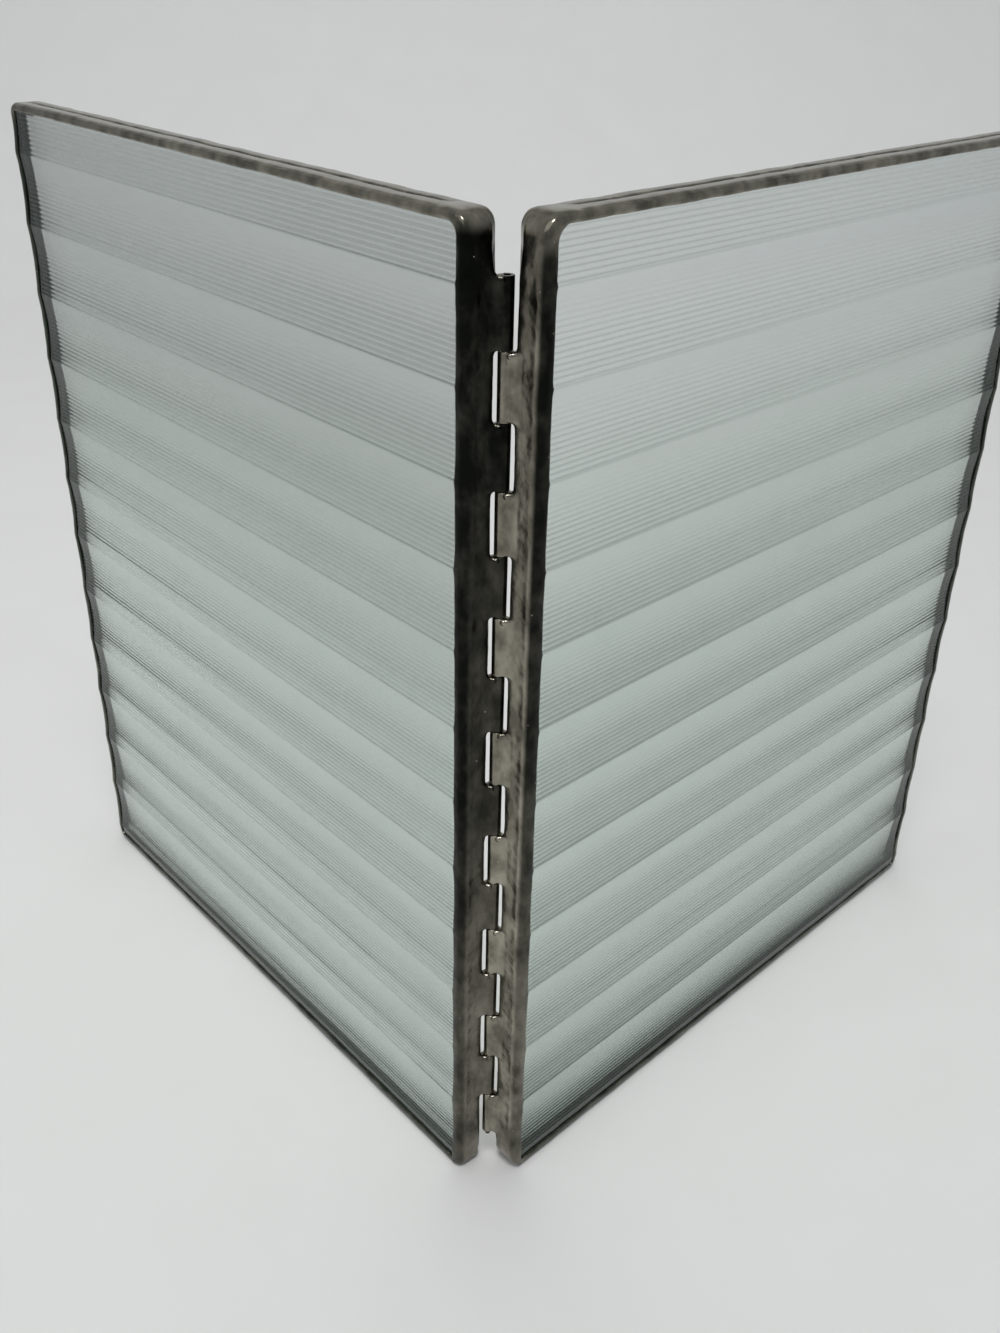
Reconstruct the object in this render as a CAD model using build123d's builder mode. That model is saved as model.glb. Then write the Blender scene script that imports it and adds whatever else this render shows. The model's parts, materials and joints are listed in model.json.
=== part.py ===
"""Hinged double photo frame: two leaves of foiled, soldered glass on a continuous hinge.

Sizes are in millimetres. The frame stands on Z = 0, open like a book, with its origin under
the middle of its box. Each leaf is drawn flat, as on the bench: X runs along the leaf from the
hinge axis, -Y is its outward (rear) side and Z is up from the foot. The right leaf is then
turned about the hinge axis, and the left leaf is its mirror image.
"""
import os
from math import cos, radians, sin, sqrt

from build123d import *

os.makedirs("parts", exist_ok=True)

# Glass: a clear front pane and a fluted rear pane, each with its corners nipped off for the foil
pane_width = 129.0
pane_height = 166.0
pane_nip = 1.6
front_thickness = 2.0
rear_thickness = 2.6
flute_pitch = 12.9
flute_depth = 0.4
first_crest_drop = 8.1

# Copper foil and solder round each pane, and the slot that the photograph slides into
foil_thickness = 0.08
overlap = 0.8
edge_solder = 0.47
face_solder = 0.17
slot_solder = 0.07
photo_slot = 0.35
bead_round = 0.8
slot_bevel = 0.5

# Solder seams that join the two panes of a leaf
seam_depth = 1.2
bed_end = 4.0
bed_margin = 0.35
bed_round = 0.3

# Continuous hinge
knuckle_length = 9.525
knuckle_count = 16
barrel_diameter = 1.85
hinge_sheet = 0.45
hinge_width = 5.2
notch_reach = 1.8
hinge_lift = 0.375
hinge_rise = 6.95
pin_diameter = 0.9
pin_clearance = 0.03
knuckle_gap = 0.15
pin_tail = 1.2
pin_recess = 1.0

# How the leaves stand: the closing gap to the hinge plane and half the angle between the leaves
closing_gap = 0.45
half_fold = 43.65

# Heights
rim = foil_thickness + edge_solder
bead_corner = pane_nip + rim
leaf_height = pane_height + 2 * rim
hinge_length = knuckle_count * knuckle_length
hinge_top = hinge_rise + hinge_length

# Distances along the leaf from the hinge axis
barrel_radius = barrel_diameter / 2
plate_face = barrel_radius - hinge_sheet
spine_face = barrel_radius + hinge_lift
outer_face = spine_face + pane_width + 2 * rim
leaf_middle = (spine_face + outer_face) / 2

# Distances outward from the hinge axis, through the thickness of the leaf
front_face = closing_gap
front_glass_low = front_face + face_solder + foil_thickness
front_glass_high = front_glass_low + front_thickness
front_slot_face = front_glass_high + foil_thickness + slot_solder
rear_slot_face = front_slot_face + photo_slot
rear_glass_low = rear_slot_face + slot_solder + foil_thickness
rear_glass_high = rear_glass_low + rear_thickness
rear_face = rear_glass_high + foil_thickness + face_solder

# Flutes: concave arcs that meet in crests, counted down from the top edge of the glass
flute_radius = flute_pitch**2 / (8 * flute_depth) + flute_depth / 2
flute_count = int(leaf_height / flute_pitch) + 2
first_flute = leaf_height - rim - first_crest_drop + flute_pitch / 2
flute_heights = [first_flute - turn * flute_pitch for turn in range(flute_count)]


def slab(low, high, grow):
    """A plate with the outline of a pane grown by a margin, between two depths of the leaf."""
    with BuildPart() as body:
        with BuildSketch(Plane.XZ.offset(low)) as sketch:
            with Locations((leaf_middle, leaf_height / 2)):
                Rectangle(pane_width + 2 * grow, pane_height + 2 * grow)
            chamfer(sketch.vertices(), pane_nip + (2 - sqrt(2)) * grow)
        extrude(amount=high - low)
    return body.part


def bead(low, high):
    """A plate with the outline of a leaf, where the solder rounds off the nipped corners."""
    with BuildPart() as body:
        with BuildSketch(Plane.XZ.offset(low)):
            with Locations((leaf_middle, leaf_height / 2)):
                RectangleRounded(pane_width + 2 * rim, leaf_height, bead_corner)
        extrude(amount=high - low)
    return body.part


def fluted(body, crest):
    """The body with the flutes cut into its outward side, their crests at the given depth."""
    with BuildPart() as cut:
        add(body)
        with BuildSketch(Plane.YZ):
            with Locations([(flute_depth - crest - flute_radius, height) for height in flute_heights]):
                Circle(flute_radius)
        extrude(amount=outer_face + spine_face, mode=Mode.SUBTRACT)
    return cut.part


def solder_block(low, high, outward):
    """A block with the rounded outside of a soldered pane; the flag says that it faces outward."""
    with BuildPart() as block:
        add(bead(low, high))
        ends = block.faces().filter_by(Axis.Y).sort_by(Axis.Y, reverse=outward)
        chamfer(ends[0].edges(), slot_bevel)
        ends = block.faces().filter_by(Axis.Y).sort_by(Axis.Y, reverse=outward)
        fillet(ends[-1].edges(), bead_round)
    return block.part


def framed(outside, inside):
    """What lies between two bodies, open at the window of bare glass."""
    with BuildPart() as ring:
        add(outside)
        add(inside, mode=Mode.SUBTRACT)
        with BuildSketch(Plane.XZ):
            with Locations((leaf_middle, leaf_height / 2)):
                Rectangle(pane_width - 2 * overlap, pane_height - 2 * overlap)
        extrude(amount=rear_face + closing_gap, mode=Mode.SUBTRACT)
    return ring.part


# Front pane, clear and flat, with its foil and its solder rim
with BuildPart() as front_glass:
    add(slab(front_glass_low, front_glass_high, 0))

front_wrap = slab(front_glass_low - foil_thickness, front_glass_high + foil_thickness, foil_thickness)
front_block = solder_block(front_face, front_slot_face, False)

with BuildPart() as front_foil:
    add(framed(front_wrap, front_glass.part))

with BuildPart() as front_solder:
    add(framed(front_block, front_wrap))

# Rear pane, fluted on its outward side, with its foil and a solder rim that fills the flutes' ends
with BuildPart() as rear_glass:
    add(fluted(slab(rear_glass_low, rear_glass_high, 0), rear_glass_high))

rear_wrap_high = rear_glass_high + foil_thickness
rear_wrap = fluted(slab(rear_glass_low - foil_thickness, rear_wrap_high, foil_thickness), rear_wrap_high)
rear_block = solder_block(rear_slot_face, rear_face, True)

with BuildPart() as rear_foil:
    add(framed(rear_wrap, rear_glass.part))

with BuildPart() as rear_solder:
    add(framed(rear_block, rear_wrap))


def seam(x_low, x_high, z_low, z_high):
    """The solder run between the two rims, over one stretch of the leaf's edge."""
    seam_low = front_slot_face - slot_bevel
    seam_high = rear_slot_face + slot_bevel
    with BuildPart() as run:
        add(bead(seam_low, seam_high))
        add(slab(seam_low, seam_high, rim - seam_depth), mode=Mode.SUBTRACT)
        add([front_block, rear_block], mode=Mode.SUBTRACT)
        with BuildSketch(Plane.XZ):
            with Locations(((x_low + x_high) / 2, (z_low + z_high) / 2)):
                Rectangle(x_high - x_low, z_high - z_low)
        extrude(amount=rear_face, mode=Mode.INTERSECT)
    return run.part


seam_top = leaf_height - bead_corner

with BuildPart() as bottom_seam:
    add(seam(0, outer_face + rim, 0, bead_corner))

with BuildPart() as outer_seam:
    add(seam(leaf_middle, outer_face + rim, bead_corner, seam_top))

# The spine seam also beds the hinge plate, flush with the plate's outside
with BuildPart() as spine_seam:
    bed_low = hinge_rise - bed_end
    bed_width = hinge_width + bed_margin - notch_reach
    with BuildSketch(Plane.XY.offset(bed_low)):
        with Locations((plate_face, -notch_reach)):
            Rectangle(spine_face - plate_face + bead_round, bed_width, align=(Align.MIN, Align.MAX))
    extrude(amount=hinge_length + 2 * bed_end)
    fillet(spine_seam.faces().sort_by(Axis.X)[0].edges(), bed_round)
    add([front_block, rear_block], mode=Mode.SUBTRACT)
    with BuildSketch(Plane.XY.offset(hinge_rise)):
        with Locations((plate_face, -notch_reach)):
            Rectangle(hinge_sheet, hinge_width - notch_reach, align=(Align.MIN, Align.MAX))
    extrude(amount=hinge_length, mode=Mode.SUBTRACT)
    add(seam(0, leaf_middle, bead_corner, seam_top))


def hinge_leaf(first):
    """A hinge plate with every second knuckle, counted down from the top."""
    with BuildPart() as plate:
        with BuildSketch(Plane.XY.offset(hinge_rise)):
            with Locations((plate_face, -notch_reach)):
                Rectangle(hinge_sheet, hinge_width - notch_reach, align=(Align.MIN, Align.MAX))
        extrude(amount=hinge_length)
        for turn in range(first, knuckle_count, 2):
            foot = hinge_top - (turn + 1) * knuckle_length + knuckle_gap / 2
            with BuildSketch(Plane.XY.offset(foot)):
                Circle(barrel_radius)
                with Locations((plate_face, 0)):
                    Rectangle(hinge_sheet, notch_reach, align=(Align.MIN, Align.MAX))
                Circle(pin_diameter / 2 + pin_clearance, mode=Mode.SUBTRACT)
            extrude(amount=knuckle_length - knuckle_gap)
    return plate.part


def reach(along, depth, round_off, sense):
    """How far a rounded arris of the leaf reaches, to the back (+1) or to the front (-1)."""
    inset = sense * round_off
    fold = radians(half_fold)
    return (along - inset) * cos(fold) - (depth + inset) * sin(fold) + inset


# The hinge axis stands so that the origin is under the middle of the box
back_reach = reach(outer_face, front_face, bead_round, 1)
front_reach = reach(plate_face, hinge_width + bed_margin, bed_round, -1)
hinge_place = -(back_reach + front_reach) / 2

leaf_pieces = {
    "front_glass": front_glass.part,
    "rear_glass": rear_glass.part,
    "front_foil": front_foil.part,
    "rear_foil": rear_foil.part,
    "front_solder": front_solder.part,
    "rear_solder": rear_solder.part,
    "spine_seam": spine_seam.part,
    "outer_seam": outer_seam.part,
    "bottom_seam": bottom_seam.part,
}
right_pieces = leaf_pieces | {"hinge_leaf": hinge_leaf(1)}
left_pieces = leaf_pieces | {"hinge_leaf": hinge_leaf(0)}

for name, piece in right_pieces.items():
    with BuildPart() as right_piece:
        with Locations(Location((0, hinge_place, 0), (0, 0, 90 - half_fold))):
            add(piece)
    right_piece.part.label = f"right_{name}"
    export_step(right_piece.part, f"parts/right_{name}.step")

for name, piece in left_pieces.items():
    with BuildPart() as left_piece:
        with Locations(Location((0, hinge_place, 0), (0, 0, 90 + half_fold))):
            add(mirror(piece, about=Plane.XZ, mode=Mode.PRIVATE))
    left_piece.part.label = f"left_{name}"
    export_step(left_piece.part, f"parts/left_{name}.step")

# Hinge pin, sunk into the top knuckle and blunted below the last one
with BuildPart() as hinge_pin:
    with BuildSketch(Plane.XY.offset(hinge_rise - pin_tail)):
        with Locations((0, hinge_place)):
            Circle(pin_diameter / 2)
    extrude(amount=hinge_length + pin_tail - pin_recess)
    chamfer(hinge_pin.edges().group_by(Axis.Z)[0], pin_diameter / 5)

hinge_pin.part.label = "hinge_pin"
export_step(hinge_pin.part, "parts/hinge_pin.step")
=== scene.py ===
# %% [markdown]
# # Hinged double photo frame
# Two leaves of foiled and soldered glass stand open like a book on a continuous hinge. A leaf is a clear
# pane and a fluted pane, with room for a photograph between them, edged in copper foil and solder.
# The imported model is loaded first, because it fixes every size, place and joint. Each lesson below then
# gives one piece the form and the finish that the eye finds on the real frame.

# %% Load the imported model
import json
from math import cos, pi, radians, sin

import bpy
from mathutils import Matrix, Vector


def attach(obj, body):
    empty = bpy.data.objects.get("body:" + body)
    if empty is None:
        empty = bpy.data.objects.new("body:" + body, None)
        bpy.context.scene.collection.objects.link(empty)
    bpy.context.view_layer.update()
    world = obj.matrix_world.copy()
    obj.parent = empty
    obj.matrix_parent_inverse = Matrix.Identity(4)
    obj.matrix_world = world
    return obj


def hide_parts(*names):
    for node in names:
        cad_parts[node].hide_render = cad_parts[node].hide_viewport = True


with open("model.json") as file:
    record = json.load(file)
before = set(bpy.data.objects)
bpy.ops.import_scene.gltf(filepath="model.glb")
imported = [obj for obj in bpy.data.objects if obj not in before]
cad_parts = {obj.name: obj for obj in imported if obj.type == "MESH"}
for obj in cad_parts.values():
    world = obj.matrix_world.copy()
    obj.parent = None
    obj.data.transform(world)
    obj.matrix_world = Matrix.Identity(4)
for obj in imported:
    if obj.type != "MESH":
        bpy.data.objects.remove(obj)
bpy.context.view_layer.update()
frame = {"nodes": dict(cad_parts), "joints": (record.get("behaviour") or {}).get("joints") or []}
bpy.ops.object.select_all(action="DESELECT")

# %% [markdown]
# ## The bench
# A leaf is easiest to model lying square to the axes, as on the maker's bench, and in millimetres.
# X runs along the leaf from the hinge axis, -Y is its outward (rear) side and Z is up. One matrix then
# carries a finished mesh to its leaf. The object itself is never moved or turned, so it stays at the
# origin with its place in its mesh, and a pattern on Object coordinates can't slide.

# %% Bench and leaves
MM = 0.001
SIDES = ("left", "right")
joint = frame["joints"][0]
hinge_at = Vector(joint["pos_m"])
half_fold = joint["range_deg"][1] / 2


def bench_matrix(side):
    """From the bench, in millimetres, to the leaf's place in the frame, in metres."""
    flip = -1 if side == "left" else 1
    place = Matrix.Translation((hinge_at.x, hinge_at.y, 0))
    turn = Matrix.Rotation(radians(90 - flip * half_fold), 4, "Z")
    return place @ turn @ Matrix.Diagonal((MM, MM * flip, MM, 1))


def bench_box(cad_name):
    """Lowest and highest corner of a CAD node of the right leaf, on the bench."""
    to_bench = bench_matrix("right").inverted()
    places = [to_bench @ vertex.co for vertex in frame["nodes"][cad_name].data.vertices]
    return Vector(map(min, *places)), Vector(map(max, *places))


rear_low, rear_high = bench_box("right_rear_glass")
front_low, front_high = bench_box("right_front_glass")
print("rear pane on the bench:", rear_low, rear_high)
print("front pane on the bench:", front_low, front_high)

# %% [markdown]
# ## Colours, nodes and pattern sizes
# Colours are written as the hex values that a colour picker shows, and one function turns them to the
# linear light that the renderer works in. A second function adds a node with its settings and links. A
# third turns the size of a pattern in millimetres into the scale that a texture node asks for.

# %% Material helpers


def linear(hex_colour):
    """An sRGB hex colour as linear RGBA."""
    parts = [int(hex_colour[i:i + 2], 16) / 255 for i in (1, 3, 5)]
    return (*[c / 12.92 if c <= 0.04045 else ((c + 0.055) / 1.055) ** 2.4 for c in parts], 1)


def node(tree, kind, inputs=None, **settings):
    """Adds a node with its settings; an input is a constant or another node's output."""
    made = tree.nodes.new(kind)
    for key, value in settings.items():
        setattr(made, key, value)
    for key, value in (inputs or {}).items():
        if isinstance(value, bpy.types.NodeSocket):
            tree.links.new(value, made.inputs[key])
        else:
            made.inputs[key].default_value = value
    return made


def new_material(name):
    """An empty node material and its Object coordinates."""
    material = bpy.data.materials.new(name)
    material.use_nodes = True
    tree = material.node_tree
    tree.nodes.clear()
    return material, tree, tree.nodes.new("ShaderNodeTexCoord").outputs["Object"]


def scale_for(size):
    """The texture scale that gives a pattern features of this size in millimetres."""
    return 1 / (size * MM)


print("white in linear light:", linear("#FFFFFF"), "scale of a 1 mm pattern:", scale_for(1))

# %% [markdown]
# ## Glass
# Both panes are soda-lime glass. The rear one was rolled between patterned rollers and is a pale
# grey-green, and the front one is polished and nearly colourless. Looking through a sheet, the eye sees a
# smooth surface that bends light and a body that swallows a little red, so long paths turn green. High up
# a pane catches the room's light and looks paler and greyer. Near an edge the eye also sees the dark foil,
# and in the reeds a dark line. Those could be left to refraction alone, but at this size they would be
# noise, so they are painted: the tint pales with height as painted light, and each vertex carries painted
# shade that says how dark its place is.

# %% Glass materials
WAVE = 9.0
GLASS_IOR = 1.52
DARK_GREEN = "#33423B"
PALE_FROM, PALE_FULL = 104, 152


def glass_material(name, tint, greener, painted_light_tint, density):
    # Clear and glossy, faintly uneven in tint, paler high up as painted light, darkest where the painted
    # shade says that foil or a reed shows
    material, tree, place = new_material(name)
    waves = node(tree, "ShaderNodeTexNoise", {"Vector": place, "Scale": scale_for(WAVE), "Detail": 2})
    body = node(tree, "ShaderNodeMix", {
        "Factor": waves.outputs["Fac"], "A": linear(tint), "B": linear(greener)}, data_type="RGBA")
    axes = node(tree, "ShaderNodeSeparateXYZ", {"Vector": place})
    # Painted light: the tint pales towards the top, where a pane catches the room's light
    rise = node(tree, "ShaderNodeMapRange", {
        "Value": axes.outputs["Z"], "From Min": PALE_FROM * MM, "From Max": PALE_FULL * MM})
    paler = node(tree, "ShaderNodeMix", {
        "Factor": rise.outputs["Result"], "A": body.outputs["Result"], "B": linear(painted_light_tint)}, data_type="RGBA")
    wash = node(tree, "ShaderNodeAttribute", attribute_name="wash")
    # Painted shade from each vertex darkens the tint towards dark green
    colour = node(tree, "ShaderNodeMix", {
        "Factor": wash.outputs["Fac"], "A": paler.outputs["Result"], "B": linear(DARK_GREEN)},
        data_type="RGBA")
    shader = node(tree, "ShaderNodeBsdfPrincipled", {
        "Base Color": colour.outputs["Result"], "Roughness": 0.0, "IOR": GLASS_IOR,
        "Transmission Weight": 1.0, "Specular Tint": linear("#B4C6BC")})
    depth = node(tree, "ShaderNodeVolumeAbsorption", {"Color": linear("#9CC4AE"), "Density": density})
    node(tree, "ShaderNodeOutputMaterial", {"Surface": shader.outputs[0], "Volume": depth.outputs[0]})
    return material


fluted_glass = glass_material("rolled_soda_lime_glass", "#E9EEEB", "#E3EAE6", "#F5F7F7", density=20)
clear_glass = glass_material("polished_picture_glass", "#EAEEEC", "#E6EBE8", "#F6F8F8", density=16)
print("glass:", fluted_glass.name, clear_glass.name)

# %% [markdown]
# ## The rolled pattern
# The outward side of a rear pane has shallow concave flutes across it, which meet in crests. Each flute
# carries sixteen fine reeds, which are lost just below a crest and grow towards the next one. A pattern
# this regular is best kept as formulas of the height. They shape the glass here, and later the foil
# and the solder that follow it.

# %% Flutes and reeds
FLUTE_PITCH = 12.9
FLUTE_DEPTH = 0.4
FIRST_CREST_DROP = 8.1
REEDS = 16
REED_DEPTH = 0.036
REED_START, REED_GROWTH = 0.1, 0.35
REED_FADE = 0.7
# Pairs like these are a start and a reach for eased, in millimetres
FADE_UP, FADE_ALONG = (10, 60), (10, 70)
first_crest = rear_high.z - FIRST_CREST_DROP
crest_depth = -rear_low.y


def clamped(share):
    """A share kept between 0 and 1."""
    return max(0, min(1, share))


def eased(value, start, reach):
    """Eases from 0 at the start to 1 a reach further on."""
    share = clamped((value - start) / reach)
    return share * share * (3 - 2 * share)


def phase(height):
    """How far down its flute a height lies, from 0 at one crest to 1 at the next."""
    return (first_crest - height) / FLUTE_PITCH % 1


def flute(height):
    """How far the fluted side lies below its crests at a height."""
    return FLUTE_DEPTH * (1 - (2 * phase(height) - 1) ** 2)


def ripple(height):
    """The reeds' wave, from 0 on a reed's ridge to 1 in its hollow."""
    return (1 - cos(2 * pi * REEDS * phase(height))) / 2


def crest_near(height, reach):
    """1 on a crest, falling to 0 at a reach in millimetres above and below it."""
    down = phase(height)
    return max(0, 1 - min(down, 1 - down) * FLUTE_PITCH / reach)


def reed(along, height):
    """How far a reed's hollow lies below the flute; the reeds fade towards the far foot."""
    swell = clamped((phase(height) - REED_START) / REED_GROWTH)
    fade = 1 - REED_FADE * (1 - eased(height, *FADE_UP)) * eased(along, *FADE_ALONG)
    return REED_DEPTH * fade * swell * ripple(height)


print("crests from", round(first_crest, 2), "mm down, one every", FLUTE_PITCH, "mm")

# %% [markdown]
# ## Where the glass looks dark
# All of this is painted shade, standing in for what refraction would show. The leaves catch the light
# from different sides. On the right leaf the hollows of the reeds are painted dark and a flute darkens
# downwards, and on the left leaf the ridges are dark and the pane dims upwards. On both, a fine painted
# line marks each crest, and a green-black band runs along the foot and the outer edge, a painted
# reflection of the foil through the thickness of the glass. A softer painted shade lies over the lowest
# flutes. This could be painted on by hand, but a formula puts the same lines on every flute.

# %% Painted shade
# Painted shade runs from 0 on clear glass to 1 on dark green
EDGE_SHADE = 6.0
EDGE_FOIL_REFLECTION = 0.9
CREST_SHADE = 0.35
CREST_LINE = 0.3
FRINGE = 2.0
# Painted shade over the lowest flutes, where the floor behind them lies in shade
LOW_SHADE = {"left": 0.16, "right": 0.46}
LOW_SHADE_REACH = 36.0
LINE_SHADE = {"left": 0.24, "right": 0.52}
LINE_SHARPNESS = 3
LINE_START, LINE_GROWTH = 0.12, 0.45
LINE_FADE, LINES_FADE_ALONG = 0.7, (10, 90)
LEFT_FLUTE, LEFT_TOP, LEFT_DIMS = 0.06, 0.36, (80, 60)
RIGHT_FLUTE, RIGHT_FLUTE_PALER, RIGHT_LINES_PALER, RIGHT_PALES = 0.36, 0.32, 0.2, (90, 60)


def painted_shade_by_side(side, height):
    """The painted shade of the reed lines and of the flute under them, on one leaf."""
    down = phase(height)
    hollow = ripple(height) ** LINE_SHARPNESS
    if side == "left":
        slope = LEFT_FLUTE * down + LEFT_TOP * eased(height, *LEFT_DIMS)
        return LINE_SHADE[side] * (1 - hollow), slope
    paler = eased(height, *RIGHT_PALES)
    slope = down ** 2 * (RIGHT_FLUTE - RIGHT_FLUTE_PALER * paler)
    return LINE_SHADE[side] * hollow * (1 - RIGHT_LINES_PALER * paler), slope


def painted_shade_at(side, along, height):
    """How much painted shade lies on a place on the fluted side."""
    lines, slope = painted_shade_by_side(side, height)
    swell = clamped((phase(height) - LINE_START) / LINE_GROWTH)
    thins = 1 - LINE_FADE * eased(along, *LINES_FADE_ALONG)
    fringe = FRINGE * swell * ripple(height) ** LINE_SHARPNESS
    # Painted reflection of the dark foil along the foot and outer edge, and painted lines on the reeds and
    # crests
    foot = eased(EDGE_SHADE + fringe - height, 0, EDGE_SHADE)
    outer = eased(along + fringe, rear_high.x - EDGE_SHADE, EDGE_SHADE)
    marks = thins * (swell * lines + CREST_SHADE * crest_near(height, CREST_LINE))
    low_shade = LOW_SHADE[side] * (1 - eased(height, 0, LOW_SHADE_REACH))
    return min(1, slope + marks + low_shade + EDGE_FOIL_REFLECTION * max(foot, outer))


print("wash in the middle of each leaf:", painted_shade_at("left", 60, 80), painted_shade_at("right", 60, 80))

# %% [markdown]
# ## Finishing a piece
# The left leaf is a mirror image, and a mirror turns a mesh inside out, so its normals are flipped back.

# %% Finishing helpers
HAIR = 0.001


def named(name):
    """Names the object just made and returns it."""
    piece = bpy.context.active_object
    piece.name = name
    piece.data.name = name
    return piece


def closed_up():
    """In edit mode, merges doubles and turns every face outwards, then leaves edit mode."""
    bpy.ops.mesh.select_all(action="SELECT")
    bpy.ops.mesh.remove_doubles(threshold=HAIR)
    bpy.ops.mesh.normals_make_consistent(inside=False)
    bpy.ops.object.mode_set(mode="OBJECT")


def placed(piece, side, stands_for):
    """Carries a finished bench mesh to its leaf and hides the CAD node that it stands for."""
    piece.data.transform(bench_matrix(side))
    if side == "left":
        piece.data.flip_normals()
    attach(piece, side + "_leaf")
    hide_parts(stands_for)
    return piece


def smooth(piece, angle):
    """Shades the faces smooth, except across sharper edges than the angle in degrees."""
    bpy.ops.object.select_all(action="DESELECT")
    piece.select_set(True)
    bpy.context.view_layer.objects.active = piece
    bpy.ops.object.shade_smooth_by_angle(angle=radians(angle))


print("doubles closer than", HAIR, "mm are merged")

# %% [markdown]
# ## Rear panes
# The sheet starts as a grid with eight rows of faces to a reed and few columns, because the pattern only
# changes with height. The columns crowd towards the outer edge, where the dark band needs them. Each
# vertex is set back by the flute and the reed at its height, the grid is extruded to the flat side, and
# the corners are cut round by bisecting, as a cutter nips them for the foil.

# %% Fluted sheet
REED_STEPS = 8
COLUMNS = 8
CROWD = 2.2
SINK = 0.02
PANE_CORNER = 1.6
CORNER_FLATS = (15, 45, 75)


def fluted_sheet(name):
    """The rolled sheet, left in edit mode; it sinks a hair into its foil, so that no gap shows."""
    bpy.ops.object.select_all(action="DESELECT")
    width = rear_high.x - rear_low.x + 2 * SINK
    height = rear_high.z - rear_low.z + 2 * SINK
    middle = (rear_low + rear_high) / 2
    rows = round(height / FLUTE_PITCH * REEDS * REED_STEPS)
    bpy.ops.mesh.primitive_grid_add(x_subdivisions=COLUMNS, y_subdivisions=rows, size=1)
    sheet = named(name)
    upright = Matrix.Rotation(pi / 2, 4, "X") @ Matrix.Diagonal((width, height, 1, 1))
    sheet.data.transform(Matrix.Translation((middle.x, 0, middle.z)) @ upright)
    for vertex in sheet.data.vertices:
        share = (rear_high.x + SINK - vertex.co.x) / width
        vertex.co.x = rear_high.x + SINK - width * share ** CROWD
        vertex.co.y = flute(vertex.co.z) + reed(vertex.co.x, vertex.co.z) - crest_depth - SINK
    bpy.ops.object.mode_set(mode="EDIT")
    bpy.ops.mesh.select_all(action="SELECT")
    bpy.ops.mesh.extrude_region_move()
    bpy.ops.transform.resize(value=(1, 0, 1))
    bpy.ops.object.mode_set(mode="OBJECT")
    for vertex in sheet.data.vertices:
        if vertex.select:
            vertex.co.y = rear_high.y + SINK
    bpy.ops.object.mode_set(mode="EDIT")
    return sheet


def nip_corners():
    """In edit mode, cuts each corner of the sheet round with three flats."""
    for x_way, x_end in ((-1, rear_low.x), (1, rear_high.x)):
        for z_way, z_end in ((-1, rear_low.z), (1, rear_high.z)):
            centre = Vector((x_end - x_way * PANE_CORNER, 0, z_end - z_way * PANE_CORNER))
            for turn in CORNER_FLATS:
                way = Vector((x_way * cos(radians(turn)), 0, z_way * sin(radians(turn))))
                cut_at = centre + way * (PANE_CORNER + SINK)
                bpy.ops.mesh.select_all(action="SELECT")
                bpy.ops.mesh.bisect(plane_co=cut_at, plane_no=way, use_fill=True, clear_outer=True)


print("a reed is", round(FLUTE_PITCH / REEDS, 2), "mm wide, in", REED_STEPS, "rows of faces")

# %% Rear panes


def rear_pane(side):
    """A fluted pane with its painted shade, on its leaf."""
    pane = fluted_sheet(side + "_fluted_pane")
    nip_corners()
    closed_up()
    # Painted shade for each vertex on the fluted side
    wash = pane.data.attributes.new("wash", "FLOAT", "POINT")
    for vertex in pane.data.vertices:
        if vertex.co.y < 2 * FLUTE_DEPTH - crest_depth:
            wash.data[vertex.index].value = painted_shade_at(side, vertex.co.x, vertex.co.z)
    smooth(pane, 20)
    pane.data.materials.append(fluted_glass)
    # Glass lets the lamps light the floor behind it
    pane.visible_shadow = False
    return placed(pane, side, side + "_rear_glass")


for side in SIDES:
    made = rear_pane(side)
    print(made.name, len(made.data.polygons), "faces")

# %% [markdown]
# ## Front panes
# The front pane covers the photograph and is plain flat glass. A cube is stretched to the pane's box,
# and the four edges that run through its thickness are bevelled, which rounds the corners.
# A plane with a thickness would do as well, but a cube has all its sides to begin with.

# %% Front panes


def front_pane(side):
    """A clear pane with rounded corners, on its leaf."""
    bpy.ops.object.select_all(action="DESELECT")
    bpy.ops.mesh.primitive_cube_add(size=1)
    pane = named(side + "_clear_pane")
    size = front_high - front_low + Vector((1, 1, 1)) * 2 * SINK
    pane.data.transform(Matrix.Translation((front_low + front_high) / 2) @ Matrix.Diagonal((*size, 1)))
    bpy.ops.object.mode_set(mode="EDIT")
    bpy.ops.mesh.select_mode(type="EDGE")
    bpy.ops.mesh.select_all(action="DESELECT")
    bpy.ops.object.mode_set(mode="OBJECT")
    for edge in pane.data.edges:
        start, end = [pane.data.vertices[i].co for i in edge.vertices]
        edge.select = abs(start.y - end.y) > size.y / 2
    bpy.ops.object.mode_set(mode="EDIT")
    bpy.ops.mesh.bevel(offset=PANE_CORNER, segments=6)
    closed_up()
    smooth(pane, 30)
    pane.data.materials.append(clear_glass)
    pane.visible_shadow = False
    return placed(pane, side, side + "_front_glass")


for side in SIDES:
    made = front_pane(side)
    print(made.name, len(made.data.polygons), "faces")

# %% [markdown]
# ## Solder
# Tin-lead solder sets as a bright, lumpy bead, and a wash of acid then turns it a dark pewter. The colour
# comes from patches a few millimetres wide, drawn out upwards, with small bright specks, and two attributes
# steer it. Patina says how black a place is: partly the real patina, and partly painted shade and painted
# light, black where the solder turns away from the light and lighter where it faces up. Edge says how much
# painted green it takes, a painted reflection of the glass beside it.

# %% Solder material
PATCH = 3.3
PATCH_STRETCH = 0.6
SPECK_SPACING = 2.3
# The grain of set solder is finer than a pixel, so it is drawn as coarse as it needs to show
GRAIN = 1.1


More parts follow.
